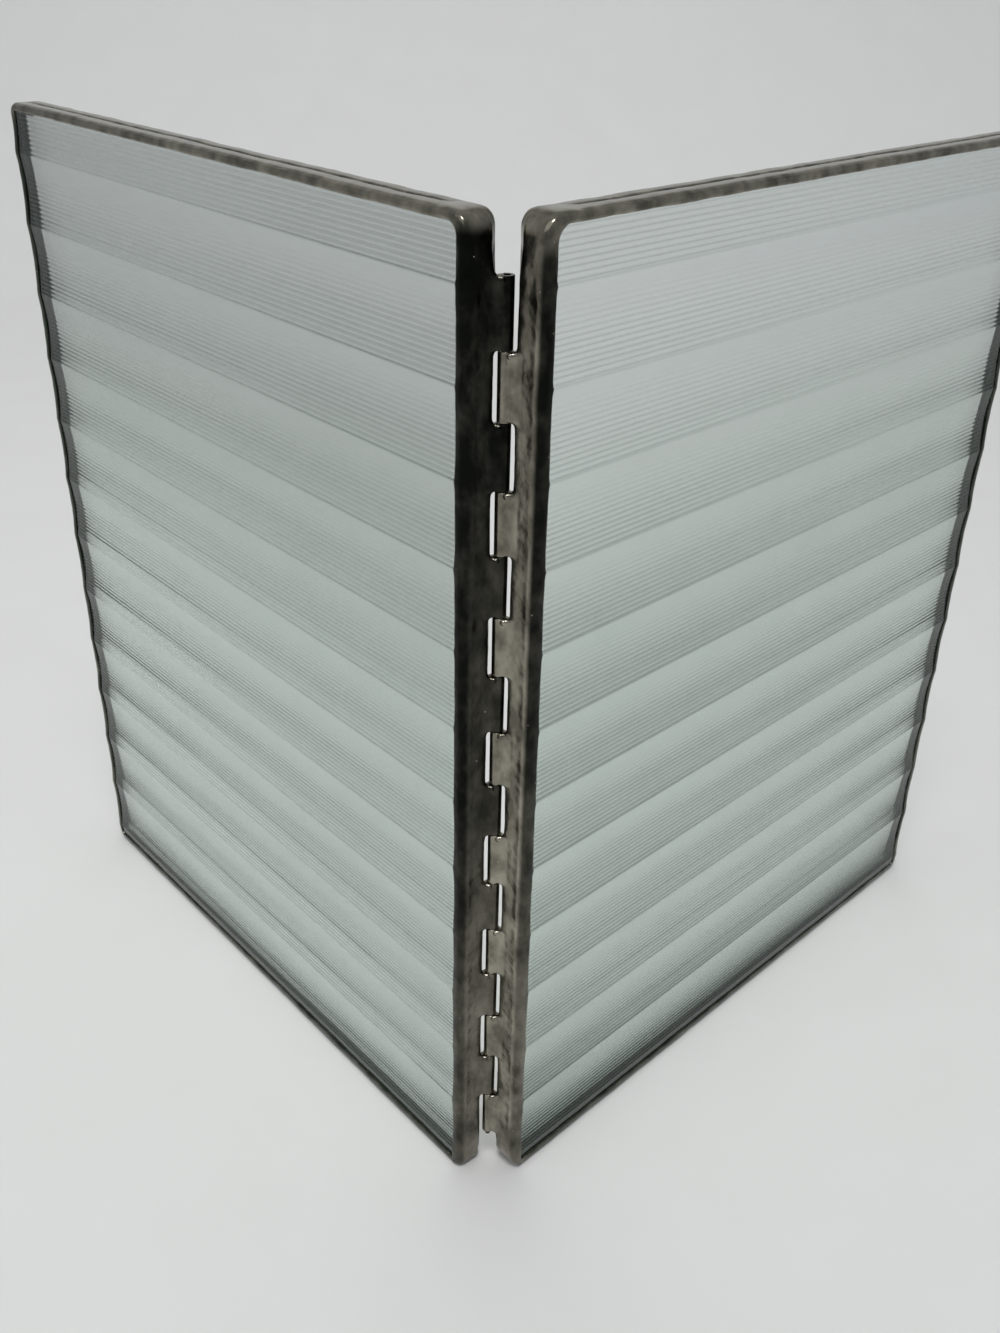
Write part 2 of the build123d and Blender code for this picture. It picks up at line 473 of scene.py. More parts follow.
def solder_colour(tree, patches, speck):
    """Pewter patches under black patina and painted shade, painted green reflection along the glass, with
    bright specks on top.
    """
    pewter = node(tree, "ShaderNodeValToRGB", {"Fac": patches.outputs["Fac"]})
    pewter.color_ramp.elements[0].position = 0.36
    pewter.color_ramp.elements[0].color = linear("#666358")
    pewter.color_ramp.elements[1].position = 0.66
    pewter.color_ramp.elements[1].color = linear("#A7A294")
    # Real patina mixed with painted shade and painted light, from each vertex
    patina_and_light_map = node(tree, "ShaderNodeAttribute", attribute_name="patina")
    uneven = node(tree, "ShaderNodeMapRange", {
        "Value": patches.outputs["Fac"], "From Min": 0.3, "From Max": 0.7, "To Min": 1.06, "To Max": 0.92})
    depth = node(tree, "ShaderNodeMath", {
        0: patina_and_light_map.outputs["Fac"], 1: uneven.outputs["Result"]}, operation="MULTIPLY", use_clamp=True)
    black = node(tree, "ShaderNodeMix", {
        "Factor": depth.outputs[0], "A": pewter.outputs["Color"], "B": linear("#161815")}, data_type="RGBA")
    # Painted reflection: the glass's green, painted into the beads along the foot and outer edge
    painted_green_map = node(tree, "ShaderNodeAttribute", attribute_name="edge")
    green = node(tree, "ShaderNodeMix", {
        "Factor": painted_green_map.outputs["Fac"], "A": black.outputs["Result"], "B": linear("#5F7268")},
        data_type="RGBA")
    return node(tree, "ShaderNodeMix", {
        "Factor": speck.outputs["Result"], "A": green.outputs["Result"], "B": linear("#B3AEA3")},
        data_type="RGBA")


def solder_material():
    # Glossy dark metal in soft patches, so highlights break up along a bead
    material, tree, place = new_material("patinated_tin_lead_solder")
    drawn = node(tree, "ShaderNodeMapping", {"Vector": place, "Scale": (1, 1, PATCH_STRETCH)})
    patches = node(tree, "ShaderNodeTexNoise", {
        "Vector": drawn.outputs["Vector"], "Scale": scale_for(PATCH), "Detail": 5, "Roughness": 0.6})
    dots = node(tree, "ShaderNodeTexVoronoi", {"Vector": place, "Scale": scale_for(SPECK_SPACING)})
    speck = node(tree, "ShaderNodeMapRange", {
        "Value": dots.outputs["Distance"], "From Min": 0.025, "From Max": 0.055, "To Min": 1, "To Max": 0})
    colour = solder_colour(tree, patches, speck)
    gloss = node(tree, "ShaderNodeMapRange", {
        "Value": patches.outputs["Fac"], "From Min": 0.3, "From Max": 0.7, "To Min": 0.13, "To Max": 0.27})
    grain = node(tree, "ShaderNodeTexNoise", {"Vector": place, "Scale": scale_for(GRAIN), "Detail": 3})
    relief = node(tree, "ShaderNodeMath", {
        0: grain.outputs["Fac"], 1: speck.outputs["Result"]}, operation="ADD")
    bump = node(tree, "ShaderNodeBump", {"Height": relief.outputs[0], "Strength": 0.15, "Distance": 0.1 * MM})
    shader = node(tree, "ShaderNodeBsdfPrincipled", {
        "Base Color": colour.outputs["Result"], "Metallic": 1.0,
        "Roughness": gloss.outputs["Result"], "Normal": bump.outputs["Normal"]})
    node(tree, "ShaderNodeOutputMaterial", {"Surface": shader.outputs[0]})
    return material


solder = solder_material()
print("solder:", len(solder.node_tree.nodes), "nodes")

# %% [markdown]
# ## Drawing a section
# A bead of solder has the same section all the way round its pane. Operators act on whatever is selected,
# so one helper first picks vertices by their place. A section is then drawn as by hand: one vertex is
# extruded from point to point, the loop is filled, and chosen corners are rounded.

# %% Section helpers
CHUNK = 10


def picked(piece, test):
    """In edit mode, selects the vertices whose place passes the test."""
    bpy.ops.mesh.select_mode(type="VERT")
    bpy.ops.mesh.select_all(action="DESELECT")
    bpy.ops.object.mode_set(mode="OBJECT")
    for vertex in piece.data.vertices:
        vertex.select = test(vertex.co)
    bpy.ops.object.mode_set(mode="EDIT")


def outline(name, points):
    """A face drawn by extruding one vertex from point to point, left in edit mode."""
    bpy.ops.object.select_all(action="DESELECT")
    bpy.ops.mesh.primitive_plane_add(size=1)
    piece = named(name)
    bpy.ops.object.mode_set(mode="EDIT")
    bpy.ops.mesh.select_mode(type="VERT")
    bpy.ops.mesh.select_all(action="SELECT")
    bpy.ops.mesh.merge(type="CENTER")
    bpy.ops.transform.translate(value=points[0])
    for start, end in zip(points, points[1:]):
        bpy.ops.mesh.extrude_vertices_move(TRANSFORM_OT_translate={"value": end - start})
    bpy.ops.mesh.select_all(action="SELECT")
    bpy.ops.mesh.edge_face_add()
    return piece


def rounded(piece, corner, radius, segments=6):
    """Rounds one corner of an outline."""
    picked(piece, lambda place: (place - corner).length < HAIR)
    bpy.ops.mesh.bevel(offset=radius, segments=segments, affect="VERTICES")


def pulled(way):
    """Extrudes what is selected by a vector."""
    bpy.ops.mesh.extrude_region_move(TRANSFORM_OT_translate={"value": way})


def cut_runs(piece, length, step):
    """Cuts the straight runs of one length into steps, in two goes: one go makes at most 100 cuts."""
    for cuts in (round(length / CHUNK), round(CHUNK / step)):
        bpy.ops.mesh.select_mode(type="EDGE")
        bpy.ops.mesh.select_all(action="DESELECT")
        bpy.ops.object.mode_set(mode="OBJECT")
        for edge in piece.data.edges:
            start, end = [piece.data.vertices[i].co for i in edge.vertices]
            edge.select = abs((end - start).length - length) < 2 * HAIR
        bpy.ops.object.mode_set(mode="EDIT")
        bpy.ops.mesh.subdivide(number_cuts=cuts - 1)
        length /= cuts


print("long runs are first cut about every", CHUNK, "mm")

# %% [markdown]
# ## Running a section round a pane
# The section could follow a curve as its bevel, but the corners would pinch. Extruding it along each
# straight side and spinning it round each corner keeps its shape exactly. It starts in the middle of the
# foot and comes back there, and the straight runs are then cut up, so that they can be made uneven.

# %% Sweep round a pane
RUN_STEP = 0.5
CORNER_STEPS = 8
pane_middle = (rear_low.x + rear_high.x) / 2


def swept(name, section, rounds):
    """Runs a section round the pane. Its points are (outward from the pane's edge, depth of the leaf)."""
    spots = [Vector((pane_middle, -depth, rear_low.z - out)) for out, depth in section]
    run = outline(name, spots)
    for index, radius in rounds.items():
        rounded(run, spots[index], radius)
    bpy.ops.mesh.select_all(action="SELECT")
    bpy.ops.mesh.delete(type="ONLY_FACE")
    bpy.ops.mesh.select_all(action="SELECT")
    low = Vector((rear_low.x + PANE_CORNER, 0, rear_low.z + PANE_CORNER))
    high = Vector((rear_high.x - PANE_CORNER, 0, rear_high.z - PANE_CORNER))
    across, rise = high.x - low.x, high.z - low.z
    legs = [
        ((across / 2, 0, 0), (high.x, 0, low.z)),
        ((0, 0, rise), (high.x, 0, high.z)),
        ((-across, 0, 0), (low.x, 0, high.z)),
        ((0, 0, -rise), (low.x, 0, low.z)),
    ]
    for way, corner in legs:
        pulled(way)
        bpy.ops.mesh.spin(steps=CORNER_STEPS, angle=pi / 2, center=corner, axis=(0, 1, 0))
    pulled((across / 2, 0, 0))
    for length in (across / 2, across, rise):
        cut_runs(run, length, RUN_STEP)
    closed_up()
    return run


print("runs start at", round(pane_middle, 2), "mm along the foot and are cut every", RUN_STEP, "mm")

# %% [markdown]
# ## Patina, painted light and lumps
# Each solder piece gets its patina and its painted light while it still lies on the bench, where heights
# and depths are easy to read: black high on the left spine, partly patina and partly a painted dark
# reflection, black in the crease next to the glass as painted shade, lighter along the top, and lighter
# still on faces that look up, as painted light. Three displacements then make the bead uneven: a slow
# wander, lumps and small dimples.
# They run after the piece is on its leaf, so no two leaves are alike.
# A texture alone could colour the solder, but it can't tell the spine from a rim, so rules do that.

# %% Patina and painted light
# Patina runs from 0 on bare pewter to 1 on black; painted shade and painted light are carried in it too
# Black on the spine at its foot, and what is added from a height over a reach. On the left leaf this black is
# partly patina and partly a painted dark reflection.
SPINE_BLACK = {"left": 0.48, "right": 0}
SPINE_RISE = {"left": [(0.4, 30, 60), (0.11, 100, 40)], "right": [(0.1, 60, 90)]}
BEAD_BLACK = 0.55
# Painted shade: black in the crease next to the glass, where the faces turn from the light
CREASE_SHADE, CREASE_RISE, CREASE_UP = 0.5, 0.47, (20, 80)
CREASE_AWAY, CREASE_TOP = 0.25, 0.45
CREASE_DEPTH, CREASE_BLEND = 4.9, 0.8
# Lighter along the top edge
TOP_LIGHTER, TOP_DROP, TOP_BLEND = 0.77, 3, 2
# The crease's painted shade fades at the crown
CROWN_SHADE_FADE, CROWN_SHADE_DROP, CROWN_SHADE_BLEND = 0.7, 5.5, 3
OFF_SPINE = (3, 6)
# Painted reflection of the glass's green in the beads, less on their outward faces
SIDE_GREEN, FACE_GREEN_LESS, FACE_AT = 0.9, 0.72, (4.2, 1)
# Painted light: faces that look up are painted lighter, from a tilt
UP_FACE_LIGHT, BEAD_TILT, TILT_BLEND = 0.7, 0.5, 0.4
rim_low, rim_high = bench_box("right_rear_solder")


def near_top(height):
    """Eases from 0 to 1 where a bead reaches the top edge."""
    return eased(height, rim_high.z - TOP_DROP, TOP_BLEND)


def patina(side, along, depth, height):
    """How black a place is: real patina, with painted shade and painted light mixed in."""
    spine = SPINE_BLACK[side]
    for black, start, reach in SPINE_RISE[side]:
        spine += black * eased(height, start, reach)
    away = eased(along, *OFF_SPINE)
    top = near_top(height)
    crown = eased(height, rim_high.z - CROWN_SHADE_DROP, CROWN_SHADE_BLEND)
    bead = (spine + (BEAD_BLACK - spine) * away) * (1 - TOP_LIGHTER * top)
    # Painted shade in the crease next to the glass, fading at the crown and away from the spine
    crease_shade = (CREASE_SHADE + CREASE_RISE * eased(height, *CREASE_UP)) * (1 - CROWN_SHADE_FADE * crown)
    crease_shade -= (CREASE_AWAY + CREASE_TOP * top) * away
    return bead + (1 - bead) * max(0, crease_shade) * eased(depth, CREASE_DEPTH, CREASE_BLEND)


def painted_glass_green(along, depth, height):
    """How much painted green, a painted reflection of the glass, shows in a bead: on the foot and the outer
    edge only.
    """
    sideways = SIDE_GREEN - FACE_GREEN_LESS * eased(depth, *FACE_AT)
    return sideways * eased(along, *OFF_SPINE) * (1 - near_top(height))


def lit_from_above(normal, tilt):
    """How much lighter a face that looks up by more than a tilt is painted, as painted light from above."""
    return UP_FACE_LIGHT * eased(normal.z, tilt, TILT_BLEND)


print("patina half way up each spine:", [round(patina(side, 0, 0, 80), 2) for side in SIDES])

# %% Uneven solder
# Name, kind, size and strength in millimetres, and direction of each unevenness
UNEVEN = [
    ("wander", "COLOR", 9, 0.16, "RGB_TO_XYZ"),
    ("lumps", "GRAYSCALE", 5, 0.16, "NORMAL"),
    ("dimples", "GRAYSCALE", 1.5, 0.05, "NORMAL"),
]


def applied(piece, kind, **settings):
    """Adds a modifier with these settings and applies it."""
    modifier = piece.modifiers.new(kind.title(), kind)
    for key, value in settings.items():
        setattr(modifier, key, value)
    bpy.context.view_layer.objects.active = piece
    bpy.ops.object.modifier_apply(modifier=modifier.name)


def lumps(piece, name, kind, size, strength, way):
    """Pushes the surface about by a cloud texture; its size and strength are in millimetres."""
    texture = bpy.data.textures.new(name, "CLOUDS")
    texture.noise_scale = size * MM
    texture.noise_depth = 2
    texture.cloud_type = kind
    applied(
        piece, "DISPLACE", texture=texture, texture_coords="GLOBAL", direction=way,
        strength=strength * MM)


def soldered(piece, side, stands_for):
    """Colours a bench piece with patina and painted light, takes it to its leaf and gives it an uneven
    surface.
    """
    black = piece.data.attributes.new("patina", "FLOAT", "POINT")
    # The edge attribute carries the painted green reflection of the glass
    green = piece.data.attributes.new("edge", "FLOAT", "POINT")
    for vertex in piece.data.vertices:
        along, depth, height = vertex.co.x, -vertex.co.y, vertex.co.z
        # Painted light: faces that look up keep less of the black
        kept = 1 - lit_from_above(vertex.normal, BEAD_TILT)
        black.data[vertex.index].value = patina(side, along, depth, height) * kept
        green.data[vertex.index].value = painted_glass_green(along, depth, height)
    placed(piece, side, stands_for)
    for name, kind, size, strength, way in UNEVEN:
        lumps(piece, name, kind, size, strength, way)
    smooth(piece, 60)
    piece.data.materials.append(solder)
    return piece


print("kinds of unevenness:", [row[0] for row in UNEVEN])

# %% [markdown]
# ## Solder rims
# Each foiled pane carries its own bead, so at the top two rims show side by side with the photo slot
# between them. The section is a C that grips the pane. On the fluted side it follows the glass underneath,
# while its outside is filled almost level near the spine and dips with the flutes further out.
# A round wire along the edge would be quicker, but it wouldn't grip the glass.

# %% Rims
OVERLAP = 0.8
FOIL = 0.08
LIP = 0.04
# Radius at each rounded corner of the section, by its place in the list of points
RIM_ROUNDS = {1: 0.2, 2: 0.8, 3: 0.5}
NEAR_DIP, FAR_DIP_MORE, DIP_ALONG = 0.2, 0.5, (20, 80)
lid_low, lid_high = bench_box("right_front_solder")
rim_out = rear_low.x - rim_low.x
rear_face, rear_slot = -rim_low.y, -rim_high.y
front_face, front_slot = -lid_high.y, -lid_low.y
window_edge = -OVERLAP - LIP


def filled(along):
    """The share of a flute's depth that still shows in the bead."""
    return NEAR_DIP + FAR_DIP_MORE * eased(along, *DIP_ALONG)


def rear_rim(side):
    """The bead round a fluted pane."""
    pane_face, pane_back = crest_depth, -rear_high.y
    section = [
        (window_edge, pane_face - SINK), (window_edge, rear_face), (rim_out, rear_face),
        (rim_out, rear_slot), (window_edge, rear_slot), (window_edge, pane_back + SINK),
        (-OVERLAP, pane_back - FOIL / 2), (FOIL / 2, pane_back - FOIL / 2),
        (FOIL / 2, pane_face + FOIL / 2), (-OVERLAP, pane_face + FOIL / 2)]
    rim = swept(side + "_rear_rim", section, RIM_ROUNDS)
    for vertex in rim.data.vertices:
        along, depth, height = vertex.co.x, -vertex.co.y, vertex.co.z
        if depth > pane_face + FOIL:
            vertex.co.y += flute(height) * filled(along)
        elif depth > (pane_face + pane_back) / 2:
            vertex.co.y += flute(height)
    return soldered(rim, side, side + "_rear_solder")


def front_rim(side):
    """The bead round a clear pane."""
    pane_face, pane_back = -front_high.y, -front_low.y
    section = [
        (window_edge, pane_face + SINK), (window_edge, front_face), (rim_out, front_face),
        (rim_out, front_slot), (window_edge, front_slot), (window_edge, pane_back - SINK),
        (-OVERLAP, pane_back + FOIL / 2), (FOIL / 2, pane_back + FOIL / 2),
        (FOIL / 2, pane_face - FOIL / 2), (-OVERLAP, pane_face - FOIL / 2)]
    rim = swept(side + "_front_rim", section, RIM_ROUNDS)
    return soldered(rim, side, side + "_front_solder")


for side in SIDES:
    for made in (rear_rim(side), front_rim(side)):
        print(made.name, len(made.data.polygons), "faces")

# %% [markdown]
# ## Seams between the two panes
# Solder also joins the two rims along the spine, the outer edge and the foot. The top stays open, so
# that the photograph slides in, apart from a short run round each top corner. One plug is run round the
# leaf, and each seam keeps its own stretch of it: the rest is deleted and the cut ends are filled.
# Three bars could fill the gap as well, but one plug has the same section all the way round.

# %% Seam plug
# How deep the plug goes, how far it spreads over each rim, its bite at the root and its drop at the sides
SEAM_DEPTH = 1.2
PLUG_SIDE = 0.6
PLUG_ROOT = 0.05
PLUG_DROP = 0.04
PLUG_ROUNDS = {2: 0.4}
# How far it runs along the top from each corner, and how it sinks out there
SPINE_RUN = 7.0
OUTER_RUN = 4.5
RUN_OUT = 0.7
RUN_HOLD = 1
top_edge = rear_high.z - PANE_CORNER
spine_end = rear_low.x + PANE_CORNER
outer_end = rear_high.x - PANE_CORNER


def kept_stretch(run, keeps):
    """Deletes what lies outside a stretch and closes its ends."""
    bpy.ops.object.mode_set(mode="EDIT")
    picked(run, lambda place: not keeps(place))
    bpy.ops.mesh.delete(type="VERT")
    bpy.ops.mesh.select_all(action="SELECT")
    bpy.ops.mesh.fill_holes(sides=0)
    closed_up()


def seam_run(name, keeps):
    """One stretch of the plug between the rims; keeps says which places belong to it."""
    section = [
        (rim_out - SEAM_DEPTH, front_slot - PLUG_ROOT), (rim_out - PLUG_DROP, front_slot - PLUG_SIDE),
        (rim_out, (front_slot + rear_slot) / 2), (rim_out - PLUG_DROP, rear_slot + PLUG_SIDE),
        (rim_out - SEAM_DEPTH, rear_slot + PLUG_ROOT)]
    run = swept(name, section, PLUG_ROUNDS)
    kept_stretch(run, keeps)
    for vertex in run.data.vertices:
        if vertex.co.z > top_edge:
            from_spine = vertex.co.x - spine_end - RUN_HOLD
            from_outer = (outer_end - vertex.co.x) * SPINE_RUN / OUTER_RUN
            vertex.co.z -= RUN_OUT * eased(min(from_spine, from_outer), 0, SPINE_RUN)
    return run


print("the plug fills a slot of", round(rear_slot - front_slot, 2), "mm")

# %% Seams
FOOT_REACH = 2.3
SIDE_START = 2


def on_spine(place):
    """Whether a place is on the spine, or on the run round its top corner."""
    reach = spine_end + SPINE_RUN if place.z > top_edge else spine_end
    return place.z > SIDE_START and place.x < reach


def on_outer(place):
    """Whether a place is on the outer edge, or on the run round its top corner."""
    reach = outer_end - OUTER_RUN if place.z > top_edge else outer_end
    return place.z > SIDE_START and place.x > reach


def on_foot(place):
    """Whether a place is on the foot."""
    return place.z < FOOT_REACH


for side in SIDES:
    outer_bead = seam_run(side + "_outer_bead", on_outer)
    soldered(outer_bead, side, side + "_outer_seam")
    foot_bead = seam_run(side + "_foot_bead", on_foot)
    soldered(foot_bead, side, side + "_bottom_seam")
    for made in (outer_bead, foot_bead):
        print(made.name, len(made.data.polygons), "faces")

# %% [markdown]
# ## Spine bar
# Along the spine the solder buries the hinge plate: one smooth bar from rim to rim, which runs out over
# each knuckle of its own leaf and is notched for those of the other. It starts as a long extruded section
# with a thin flange over the rear rim, out to the glass. Its vertices are then moved by rules: the ends
# round off, the face is drawn towards the hinge, and the notches sink between the knuckles.
# It could be sculpted, but rules shape every notch alike.

# %% Spine bar: section
KNUCKLES = 16
KNUCKLE_GAP = 0.15
FIRST_KNUCKLE = {"left": 0, "right": 1}
# The section: its skin over the seam, its depth at a notch, its reach along the leaf, and its flange
SKIN = 0.03
NOTCH = 1.68
CORE = 1.65
FLANGE = 0.07
# How far the bar stops short of each end, and the steps that it is cut into
BAR_END = 0.3
BAR_STEP = 0.2
# Where it is tucked against the spine, between two depths, and how deep it starts at its core
TUCK = 0.01
TUCK_TOP, TUCK_FOOT, CORE_FOOT = 1.7, 1.3, 1.2
# Radius and segments at each rounded corner of the section, by its place in the list of points
BAR_ROUNDS = {2: (0.2, 6), 3: (1.3, 10), 4: (0.2, 6), 5: (0.15, 6)}
plate_low, plate_high = bench_box("right_hinge_leaf")
bed_low = bench_box("right_spine_seam")[0]
knuckle_length = (plate_high.z - plate_low.z) / KNUCKLES
bed_face = bed_low.x - SKIN
spine_face = rim_low.x
lip = rear_low.x + OVERLAP + LIP
leaf_top = rim_high.z


def bar_blank(side):
    """The straight bar, before its ends and notches are shaped."""
    section = [
        (CORE, crest_depth + SKIN), (lip, crest_depth + SKIN), (lip, rear_face + FLANGE),
        (bed_face, rear_face + FLANGE), (bed_face, NOTCH - SKIN), (spine_face - TUCK, TUCK_TOP),
        (spine_face - TUCK, TUCK_FOOT), (CORE, CORE_FOOT)]
    spots = [Vector((along, -depth, BAR_END)) for along, depth in section]
    bar = outline(side + "_spine_bar", spots)
    for index, (radius, segments) in BAR_ROUNDS.items():
        rounded(bar, spots[index], radius, segments)
    picked(bar, lambda place: abs(place.x - bed_face) < HAIR)
    bpy.ops.mesh.subdivide(number_cuts=9)
    bpy.ops.mesh.select_all(action="SELECT")
    length = leaf_top - 2 * BAR_END
    pulled((0, 0, length))
    cut_runs(bar, length, BAR_STEP)
    closed_up()
    return bar


print("knuckles of", round(knuckle_length, 3), "mm; the bar's face is", round(bed_face, 3), "mm from the pin")

# %% Spine bar: ends and notches
END_RISE = {"top": 3.4, "left": 1.6, "right": 4.2}
END_SINK = {"top": 2.2, "left": 0.8, "right": 2.4}
DRAWN, DRAWN_ENDS, DRAWN_DEPTH = 0.22, (4, 3), 2.6
NICK, NICK_REACH = 0.2, 1
DIP_DEPTH = (4.6, 1.4)
SAG = 0.4
SAG_REACH = 0.3
SAG_DEPTH = 3.0
SAG_DECAY = 2.7
outer_corner = PANE_CORNER + rim_out


def knuckle_edge(height, side):
    """How far inside its nearest own knuckle a height lies, in millimetres; negative is outside."""
    turn = (plate_high.z - height) / knuckle_length - FIRST_KNUCKLE[side]
    nearest = max(0, min(KNUCKLES // 2 - 1, round((turn - 0.5) / 2)))
    middle = 2 * nearest + 0.5
    return (0.5 - abs(turn - middle)) * knuckle_length - KNUCKLE_GAP / 2


def quarter(reach, across, along):
    """How far an elliptic corner has drawn in, this far along its reach."""
    share = clamped(along / reach)
    return across * (1 - (1 - share * share) ** 0.5)


def bar_place(side, along, depth, height):
    """Where a vertex of the straight bar goes on the finished one."""
    from_end = min(height, leaf_top - height)
    back = clamped((along - bed_face) / (CORE - bed_face))
    flange = max(0, (along - CORE) / (lip - CORE))
    tip = "top" if height > leaf_top / 2 else side
    face = quarter(END_RISE[tip], END_SINK[tip], END_RISE[tip] + BAR_END - from_end)
    rim = quarter(outer_corner, outer_corner, outer_corner - from_end)
    nick = NICK * flange * crest_near(height, NICK_REACH)
    along += (1 - flange) * ((1 - back) * face + back * rim) + nick
    along -= (1 - back) * DRAWN * eased(from_end, *DRAWN_ENDS) * (1 - eased(depth, NOTCH, DRAWN_DEPTH))
    outside = min(0, knuckle_edge(height, side))
    sunk = SAG * SAG_DECAY ** (outside / SAG_REACH)
    depth -= sunk * clamped((SAG_DEPTH - depth) / (SAG_DEPTH - NOTCH))
    if flange and depth < crest_depth + FOIL:
        depth -= flute(height)
    else:
        depth -= filled(0) * flute(height) * eased(depth, *DIP_DEPTH)
    return Vector((along, -depth, height))


def spine_bar(side):
    """The bar with its ends and notches shaped, still on the bench."""
    bar = bar_blank(side)
    for vertex in bar.data.vertices:
        vertex.co = bar_place(side, vertex.co.x, -vertex.co.y, vertex.co.z)
    return bar


print("a notch sinks", SAG, "mm at a knuckle's end and fades over about", SAG_REACH, "mm")

# %% [markdown]
# ## Solder on the knuckles
# Solder is drawn out over the strap of each knuckle to its barrel, hollow like the foot of a tree, and
# beads up in a small nub at its upper end. One wedge is modelled, with a ball for the nub, and then
# copied down the hinge at every second knuckle.
# Each could be shaped by eye, but copies keep the pitch exact.

# %% Knuckle wedges
NUB = 0.5
# Along the leaf, depth, and drop from the upper end of the wedge
NUB_AT = (-0.2, 1.05, 0.42)
WEDGE_TRIM, WEDGE_ARRIS = 0.04, 0.12
WEDGE_POINTS, WEDGE_STEP = 10, 0.4
# Along the leaf and depth: the hollow face from the barrel to the bar, and then the points behind it
WEDGE_START, WEDGE_BEND = Vector((-0.86, 0.4)), Vector((0.02, 1.4))
WEDGE_STOP = Vector((bed_face - 0.17, 2.6))
WEDGE_BACK = [(0.75, 2.6), (0.75, 0.95), (0.28, 0.68), (0, 0.72), (-0.38, 0.6), (-0.62, 0.36)]


def copied_down():
    """In edit mode, copies what is there to every second knuckle below."""
    bpy.ops.mesh.select_all(action="SELECT")
    for turn in range(1, KNUCKLES // 2):
        bpy.ops.mesh.duplicate_move(TRANSFORM_OT_translate={"value": (0, 0, -2 * knuckle_length)})
    bpy.ops.object.mode_set(mode="OBJECT")


def knuckle_foot(side):
    """Height of the lower end of a leaf's first knuckle."""
    return plate_high.z - (FIRST_KNUCKLE[side] + 1) * knuckle_length + KNUCKLE_GAP / 2


def knuckle_wedges(side):
    """The solder on all the knuckles of a leaf, still on the bench."""
    foot = knuckle_foot(side) + WEDGE_TRIM
    length = knuckle_length - KNUCKLE_GAP - 2 * WEDGE_TRIM
    curve = []
    for step in range(WEDGE_POINTS + 1):
        share = step / WEDGE_POINTS
        bent = WEDGE_START * (1 - share) ** 2 + WEDGE_BEND * 2 * share * (1 - share)
        curve.append(bent + WEDGE_STOP * share ** 2)
    spots = [Vector((along, -depth, foot)) for along, depth in [*curve, *WEDGE_BACK]]
    wedge = outline(side + "_knuckle_wedges", spots)
    bpy.ops.mesh.select_all(action="SELECT")
    pulled((0, 0, length))
    cut_runs(wedge, length, WEDGE_STEP)
    closed_up()
    applied(wedge, "BEVEL", width=WEDGE_ARRIS, segments=3, limit_method="ANGLE", angle_limit=radians(60))
    bpy.ops.object.mode_set(mode="EDIT")
    nub_along, nub_depth, nub_drop = NUB_AT
    nub_at = (nub_along, -nub_depth, foot + length - nub_drop)
    bpy.ops.mesh.primitive_ico_sphere_add(subdivisions=3, radius=NUB, location=nub_at)
    copied_down()
    return wedge


print("first knuckles end at", [round(knuckle_foot(side), 2) for side in SIDES], "mm up")

# %% [markdown]
# ## The crown of the spine
# At the top corner by the hinge, both rims, the seam and the bar run together in one smooth mound, and
# the solder creeps into the corner of the window. A coat is swept over both rims, kept only round that
# corner, thinned out along each rim, and its inner corner is drawn out to a round web.
# A ball set on the corner would look stuck on, while a coat follows what lies under it.

# %% Corner cover
# How proud the coat stands, how far it reaches from the corner, its thickness, and its bite
COVER = 0.14
COVER_REACH = 9.0
COVER_SKIN = 0.24
COVER_BITE = 0.02
COVER_ROUNDS = {1: 1.0, 2: 0.9}
THIN_FROM, THIN_REACH = 3.5, 5
DIP_BAND, EDGE_BAND, LIP_BAND = 1.1, 0.3, 0.05
WEB = {"left": 1.8, "right": 2.6}
window_top = rear_high.z - OVERLAP - LIP


def on_lip(along, height):
    """Whether a place on the cover lies at the lip, next to the bare glass."""
    round_off = PANE_CORNER - OVERLAP - LIP
    inset = Vector((max(0, lip + round_off - along), max(0, height - window_top + round_off)))
    return inset.length < round_off + LIP_BAND


def on_cover(place):
    """Whether a place is round the top corner by the hinge."""
    return place.z >= leaf_top - COVER_REACH and place.x <= spine_face + COVER_REACH


def corner_cover(side):
    """The coat over both rims at the top corner, still on the bench."""
    inner = FOIL + COVER_BITE
    section = [
        (window_edge, rear_face), (rim_out, rear_face), (rim_out, front_face), (window_edge, front_face),
        (window_edge, front_face + COVER_SKIN), (inner, front_face + COVER_SKIN),
        (inner, rear_face - COVER_SKIN), (window_edge, rear_face - COVER_SKIN)]
    cover = swept(side + "_corner_cover", section, COVER_ROUNDS)
    kept_stretch(cover, on_cover)
    for vertex in cover.data.vertices:
        along, depth, height = vertex.co.x, -vertex.co.y, vertex.co.z
        from_spine, from_top = along - spine_face, leaf_top - height
        if depth > rear_face - DIP_BAND:
            vertex.co.y += filled(along) * flute(height)
        on_face = depth > rear_face - COVER_SKIN / 2 or depth < front_face + COVER_SKIN / 2
        if on_face or min(from_spine, from_top) < EDGE_BAND:
            thins = eased(max(from_spine, from_top), THIN_FROM, THIN_REACH)
            vertex.co += vertex.normal * COVER * (1 - 2 * thins)
        spoke = Vector((along - lip - WEB[side], 0, height - window_top + WEB[side]))
        in_corner = spoke.length > WEB[side] and spoke.x < 0 < spoke.z
        if in_corner and depth > rear_face - 2 * COVER_SKIN and on_lip(along, height):
            vertex.co -= spoke.normalized() * (spoke.length - WEB[side])
    return cover


print("the window's corner is at", round(lip, 2), "mm along and", round(window_top, 2), "mm up")

# %% [markdown]
# ## Flowing the spine together
# Solder has no joints: what was run in four goes sets as one skin. So the bar, the wedges, the seam and the
# cover are joined, remeshed into one closed surface and smoothed, much more at the crown than elsewhere.
# A boolean union would keep every crease between them.

# %% Spine solder
VOXEL = 0.2
CROWN_DROP = 9.0
CROWN_BLEND = 4.0
SKIN_PASSES, CROWN_PASSES = 5, 45


